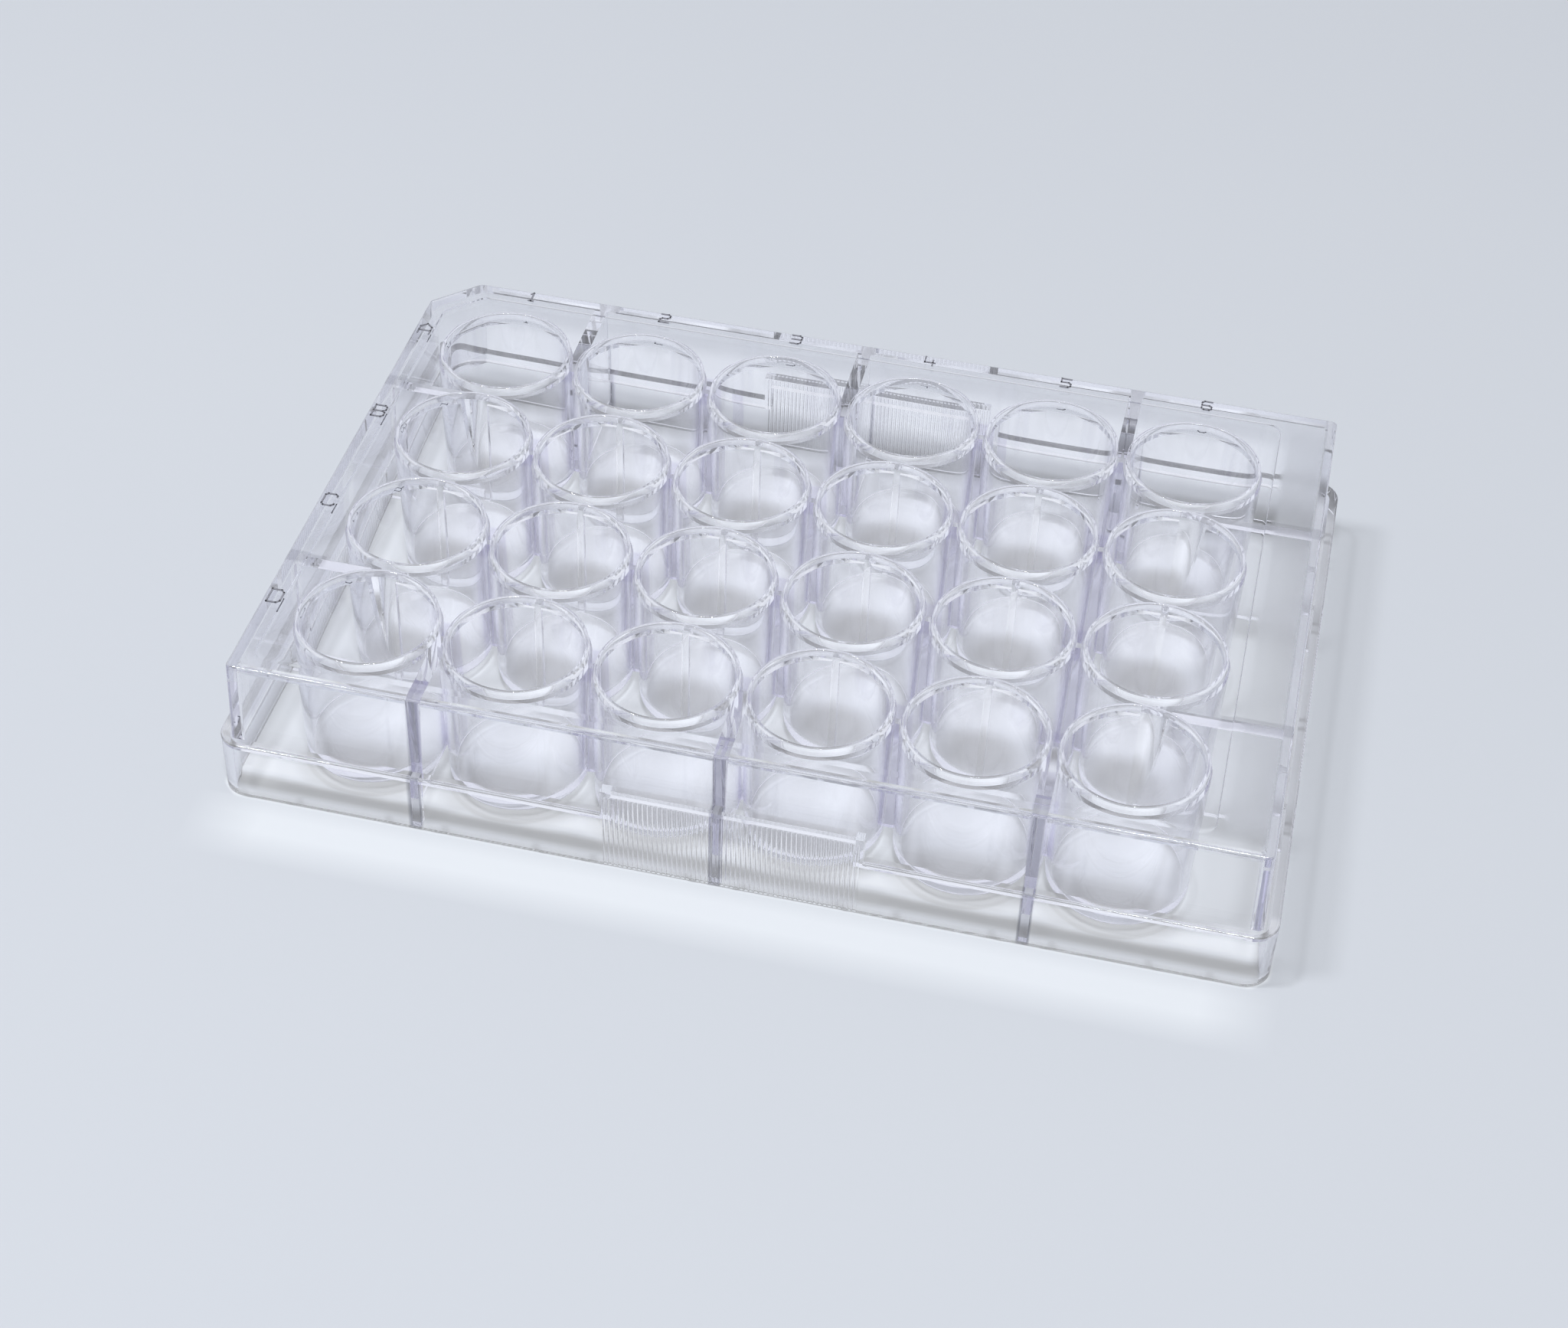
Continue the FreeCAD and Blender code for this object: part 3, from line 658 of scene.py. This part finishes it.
def tint_with_painted_shade(tree, x, y, z, border, facing):
    """Nearly white plastic with painted shade: painted greyer on the deck, painted violet-grey in gaps, at
    rib ends, where ribs meet the walls and on grazing tube faces.
    """
    deck = tree.window(z, (DECK - 0.4) * MM, (DECK + 0.02) * MM, 0.04 * MM)
    below = tree.at_least((DECK - 0.3) * MM - z, 0.0, 0.2 * MM)
    across, along, radius = tree.well(x, y)
    end_ribs = tree.at_least(1.0 - tree.from_rib(y, end_places[0]), 0.0, 0.3)
    end_ribs = end_ribs * tree.at_least((x / MM - GRID_X).size(), 55.0, 0.5)
    gaps = tree.at_least(across.size(), 8.3, 0.2) * tree.at_least(2.8 - along.size(), 0.0, 0.4)
    gaps = gaps * tree.at_least((COLUMNS - 1) / 2 * PITCH - (x / MM - GRID_X).size(), 0.0, 0.5)
    side_ribs = tree.at_least(0.75 - tree.from_rib(x, side_places[0]), 0.0, 0.2)
    side_ribs = side_ribs * tree.at_least(y.size(), (BOX_Y - DRAFT - 0.2) * MM, 0.1 * MM)
    tubes = tree.at_least(9.4 - radius, 0.0, 0.3)
    # Painted shade: the deck greyer, and violet-grey at rib ends, in gaps between tubes, where ribs meet
    # the walls and on grazing tube faces; the frosted border's grey is its own.
    tint = tree.coloured(deck, CLEAR, PAINTED_DECK_SHADE)
    tint = tree.coloured(border, tint, FROSTED_TINT)
    tint = tree.coloured(end_ribs * deck, tint, PAINTED_END_RIB_SHADE)
    tint = tree.coloured(gaps * below, tint, PAINTED_GAP_SHADE)
    tint = tree.coloured(side_ribs * below, tint, PAINTED_SIDE_RIB_SHADE)
    return tree.coloured(facing ** 3 * below * tubes, tint, PAINTED_GRAZING_SHADE)


# %% The light that reaches the table
def outer_edge(tree, x, y, z, half_x, half_y, low, high):
    """One in a band of heights, within one wall's thickness of the faces of a box of these half sizes."""
    across = tree.at_least(x.size(), (half_x - WALL) * MM, 0.2 * MM)
    along = tree.at_least(y.size(), (half_y - WALL) * MM, 0.2 * MM)
    return tree.larger(across, along) * tree.window(z, low * MM, high * MM, 0.1 * MM)


def light_passed(tree, x, y, z, facing):
    """The share of light that a face lets through: less at grazing faces, rims, corners and tube feet.

    A face mirrors NORMAL_MIRROR, and the rest of the way to one as the fifth power of `facing`.
    """
    mirrored = NORMAL_MIRROR + facing ** 5 * (1 - NORMAL_MIRROR)
    rim = tree.at_least(z, (DECK - 0.02) * MM, 0.05 * MM)
    corner = outer_edge(tree, x, y, z, FOOT_X, FOOT_Y, LEDGE - WALL - 0.1, LEDGE + 0.1)
    corner = corner + outer_edge(tree, x, y, z, deck_x, deck_y, DECK_UNDER - 0.1, DECK - 0.05)
    radius = tree.well(x, y)[2]
    foot = tree.window(radius, 8.1, 8.75, 0.3) * tree.at_least(2.7 * MM - z, 0.0, 0.3 * MM)
    thick = (corner + rim * 0.6 + foot * 0.7).clamp()
    return (1.0 - mirrored) * (1.0 - thick * 0.5)


# %% The clear material
LAST_BENT_BOUNCE = 8.0


def clear_polystyrene():
    """Clear plastic that bends what is seen through it, and lets light for matt faces pass straight."""
    tree = Tree(bpy.data.materials.new("clear_polystyrene"))
    coordinates, x, y, z = tree.place()
    facing = Number(tree, tree.node("ShaderNodeLayerWeight", sockets={"Blend": 0.5}).outputs["Facing"])
    border = frosted_border(tree, x, y, z)
    height = tree.noise(coordinates, WAVE_SCALE, 0.0) * WAVE_HEIGHT
    bump = tree.node("ShaderNodeBump", sockets={
        "Strength": WAVE_STRENGTH, "Distance": 1.0, "Height": height,
    })
    plastic = tree.node("ShaderNodeBsdfPrincipled", sockets={
        "Base Color": tint_with_painted_shade(tree, x, y, z, border, facing),
        "Transmission Weight": 1.0,
        "IOR": INDEX,
        "Roughness": border * FROST,
        "Normal": bump.outputs[0],
    })
    path = tree.node("ShaderNodeLightPath")
    to_lamp, to_surroundings, bounces = (
        Number(tree, path.outputs[name]) for name in ("Is Shadow Ray", "Is Diffuse Ray", "Ray Depth")
    )
    through = tree.larger(light_passed(tree, x, y, z, facing), 1.0 - to_lamp)
    passed = tree.mixed(through, tree.clear((0, 0, 0)), tree.clear((1, 1, 1)))
    spent = bounces.math("GREATER_THAN", bounces, LAST_BENT_BOUNCE)
    seen = tree.mixed(spent, plastic.outputs[0], tree.clear((1, 1, 1)))
    inside = tree.node("ShaderNodeVolumeAbsorption", sockets={"Color": ABSORBED, "Density": DENSITY})
    tree.node("ShaderNodeOutputMaterial", sockets={
        "Surface": tree.mixed(tree.larger(to_lamp, to_surroundings), seen, passed),
        "Volume": inside.outputs[0],
    })
    return tree.owner


plate.data.materials.clear()
plate.data.materials.append(clear_polystyrene())


# %% The marks' material
def frosted_strokes():
    """The marks' rough faces, grey against clear plastic, and uneven as a worn mould leaves them."""
    tree = Tree(bpy.data.materials.new("frosted_strokes"))
    wear = tree.noise(tree.place()[0], 900.0, 2.0)
    shader = tree.node("ShaderNodeBsdfPrincipled", sockets={
        "Base Color": tree.coloured(wear, (0.12, 0.12, 0.14), (0.38, 0.38, 0.43)),
        "Roughness": wear * 0.3 + 0.35,
    })
    tree.node("ShaderNodeOutputMaterial", sockets={"Surface": shader.outputs[0]})
    return tree.owner


marks.data.materials.append(frosted_strokes())
print("materials:", plate.data.materials[0].name, marks.data.materials[0].name)

# %% [markdown]
# ## The table
#
# The plate lies on a pale matt table. A clear moulding gathers light into pale strips and leaves darker
# patches beside them, and these patterns could only be traced slowly. They are painted on the table
# instead, each as a smooth window or a round patch that repeats under every well. Distances are in
# millimetres.

# %% The floor
SHEET_DARK, SHEET_PALE = (0.635, 0.657, 0.712), (0.655, 0.677, 0.724)
GATHERED, SHADED, REAR_SHADE = (0.86, 0.885, 0.93), (0.62, 0.625, 0.635), (0.41, 0.42, 0.44)
GLOW, GLOW_STRENGTH = (0.95, 0.97, 1.0), 0.16


def gathered_light(tree, x, y, across, along, wells, under):
    """Pale light under the back of each well, in strips inside the front wall, and behind the plate."""
    behind_middle = tree.at_least(along, 2.6, 3.0) + tree.at_least(0.0 - along, 8.4, 1.0)
    back_of_wells = behind_middle * tree.at_least(6.8 - across.size(), 0.0, 4.0) * wells
    strips = tree.window(y, -42.6, -40.9, 0.6) * 0.5 + tree.window(y, -37.6, -35.0, 1.0)
    behind_plate = tree.window(x, -60, 56, 8) * tree.window(y, 49.5, 60, 3)
    return (back_of_wells + strips * under + behind_plate).clamp()


def lost_light(tree, y, across, along, radius, first_row, wells, columns, under):
    """Darker patches: an oval under each well, a crescent before the front tubes, and a band by the wall.

    The oval is 1.3 - u * u - v * v, where u and v run from nought at its middle to one at its ends.
    """
    u = (across + 1.3 - first_row * 1.3) / (6.0 + first_row * 2.6)
    v = (along + 1.2 + first_row * 3.4) / (4.0 + first_row * 0.7)
    ovals = (1.3 - u ** 2 - v ** 2).clamp() * wells
    crescents = tree.window(radius, 8.3, 9.3, 0.6) * tree.at_least(0.0 - along, 4.0, 3.0)
    crescents = crescents * first_row * columns * 0.9
    ledge_band = tree.window(y, -40.3, -38.3, 0.9)
    return tree.larger(ovals, tree.larger(ledge_band, crescents)) * under


def table_finish():
    """A pale matt table with a barely seen mottle, paler and darker where the plate steers light on it."""
    tree = Tree(bpy.data.materials.new("table"))
    coordinates, x, y, _ = tree.place()
    mottle = tree.noise(coordinates, 9.0, 2.0)
    across, along, radius = tree.well(x, y)
    x, y = x / MM, y / MM
    under = tree.window(x, -FOOT_X, FOOT_X, 0.6) * tree.window(y, -FOOT_Y, FOOT_Y, 0.6)
    under = under * tree.at_least(FOOT_X + FOOT_Y - 0.6 * CORNER_RADIUS - x.size() - y.size(), 0.0, 0.8)
    front = tree.window(x, -62, 61, 9) * tree.window(y, -50.5, -FOOT_Y, 5)
    front = front * tree.at_least(-FOOT_Y - y, 0.0, 0.5)
    rear = tree.window(x, -FOOT_X, FOOT_X, 3) * tree.window(y, 40.5, 45.0, 3)
    columns = tree.window(x, COLUMN_X[0] - 9, COLUMN_X[-1] + 9, 1.5)
    wells = columns * tree.window(y, ROW_Y[-1] - 9, ROW_Y[0] + 9, 1.5)
    first_row = tree.at_least(ROW_Y[-1] + PITCH / 2 - y, 0.0, 1.0)
    glow = gathered_light(tree, x, y, across, along, wells, under)
    lost = lost_light(tree, y, across, along, radius, first_row, wells, columns, under)
    colour = tree.coloured(mottle, SHEET_DARK, SHEET_PALE)
    colour = tree.coloured((under + front * 0.7).clamp(), colour, GATHERED)
    colour = tree.coloured(lost, colour, SHADED)
    colour = tree.coloured(rear, colour, REAR_SHADE)
    shader = tree.node("ShaderNodeBsdfPrincipled", sockets={
        "Base Color": colour,
        "Roughness": 0.6,
        "Specular IOR Level": 0.3,
        "Emission Color": tree.coloured(glow, (0.0, 0.0, 0.0), GLOW),
        "Emission Strength": GLOW_STRENGTH,
    })
    tree.node("ShaderNodeOutputMaterial", sockets={"Surface": shader.outputs[0]})
    return tree.owner


TABLE_SIZE = 6000
table_corners = [(x, y, 0) for x, y in plain_corners(TABLE_SIZE / 2, TABLE_SIZE / 2)]
table = new_piece("table", (table_corners, [[0, 1, 2, 3]]), MM)
table.data.materials.append(table_finish())
print("table:", TABLE_SIZE * MM, "m square")

# %% [markdown]
# ## The light
#
# Two round windows and the sky light the plate. The sky is dim at the horizon and bright overhead, so
# that walls mirror a dim band and rims catch a bright one. Matt faces gather a dimmer and warmer light
# from it, which keeps the shadows soft but not lost.

# %% The light
def daylight():
    """A sky, dim at the horizon and bright overhead, that gives matt faces a dimmer and warmer light."""
    world = bpy.data.worlds.new("daylight")
    world.cycles.sampling_method = "NONE"
    tree = Tree(world)
    direction = tree.node("ShaderNodeTexCoord").outputs["Generated"]
    up = Number(tree, tree.node("ShaderNodeSeparateXYZ", sockets={0: direction}).outputs[2])
    landing = Number(tree, tree.node("ShaderNodeLightPath").outputs["Is Diffuse Ray"])
    horizon, overhead, on_matt_faces = 0.12, 0.97, 0.28
    seen = horizon + (up / 0.6).clamp() * (overhead - horizon)
    sky = tree.node("ShaderNodeBackground", sockets={
        "Color": tree.coloured(landing, (0.9, 0.93, 1.0), (1.0, 0.985, 0.95)),
        "Strength": seen + landing * (on_matt_faces - seen),
    })
    tree.node("ShaderNodeOutputWorld", sockets={0: sky.outputs[0]})
    return world


bpy.context.scene.world = daylight()


def softbox(name, towards, distance, size, light, colour):
    """A round area light along a direction from the plate, turned to face it.

    Its power is light * (pi * distance) squared, so `light` is the share of a white table's brightness
    that it gives, however far away it hangs.
    """
    lamp = bpy.data.lights.new(name, "AREA")
    lamp.shape, lamp.size, lamp.color = "DISK", size, colour
    lamp.energy = light * (math.pi * distance) ** 2
    holder = bpy.data.objects.new(name, lamp)
    bpy.context.scene.collection.objects.link(holder)
    direction = Vector(towards).normalized()
    holder.location = direction * distance
    holder.rotation_euler = direction.to_track_quat("Z", "Y").to_euler()


softbox("window_left", (-0.41, -0.18, 1.0), 1.2, 0.147, 0.32, (0.94, 0.97, 1.0))
softbox("window_front", (0.1, -0.38, 1.0), 2.2, 0.46, 0.54, (0.93, 0.965, 1.0))
print("lights:", [lamp.name for lamp in bpy.data.lights])

# %% [markdown]
# ## The camera
#
# The plate is seen from above its front edge and a little from the right, with the camera rolled by two
# degrees. A long lens at about a third of a metre keeps the far row nearly as large as the near one.

# %% The camera
CAMERA_AZIMUTH, CAMERA_HEIGHT, CAMERA_ROLL = math.radians(11.468), math.radians(42.536), math.radians(2.331)
CAMERA_DISTANCE, CAMERA_TARGET = 0.34638, Vector((-0.000404, -0.013299, 0.010))
camera_data = bpy.data.cameras.new("camera")
camera_data.sensor_width, camera_data.lens = 36.0, 64.276
camera_data.clip_start = 0.01
camera = bpy.data.objects.new("camera", camera_data)
bpy.context.scene.collection.objects.link(camera)
backwards = Vector((
    math.sin(CAMERA_AZIMUTH) * math.cos(CAMERA_HEIGHT),
    -math.cos(CAMERA_AZIMUTH) * math.cos(CAMERA_HEIGHT),
    math.sin(CAMERA_HEIGHT),
))
turn = backwards.to_track_quat("Z", "Y").to_matrix().to_4x4() @ Matrix.Rotation(CAMERA_ROLL, 4, "Z")
camera.matrix_world = Matrix.Translation(CAMERA_TARGET + backwards * CAMERA_DISTANCE) @ turn
bpy.context.scene.camera = camera
print(f"camera {CAMERA_DISTANCE:.3f} m from the plate's middle, lens {camera_data.lens:.1f} mm")

# %% [markdown]
# ## Light paths
#
# A look through one well crosses eight or more faces, so the bounces are generous. Light gathered by
# traced caustics is switched off, and a cap on indirect light keeps lone bright specks out.

# %% Light paths through many walls
MOST_BOUNCES, NOISE_LIMIT, BRIGHTEST_INDIRECT = 16, 0.07, 0.9
scene = bpy.context.scene
scene.view_settings.view_transform = "Standard"
scene.cycles.adaptive_threshold = NOISE_LIMIT
scene.cycles.max_bounces = MOST_BOUNCES
scene.cycles.transmission_bounces = MOST_BOUNCES
scene.cycles.glossy_bounces = MOST_BOUNCES
scene.cycles.transparent_max_bounces = 2 * MOST_BOUNCES
scene.cycles.diffuse_bounces = 1
scene.cycles.sample_clamp_indirect = BRIGHTEST_INDIRECT
scene.cycles.caustics_refractive = False
scene.cycles.caustics_reflective = False
print("bounces:", MOST_BOUNCES)
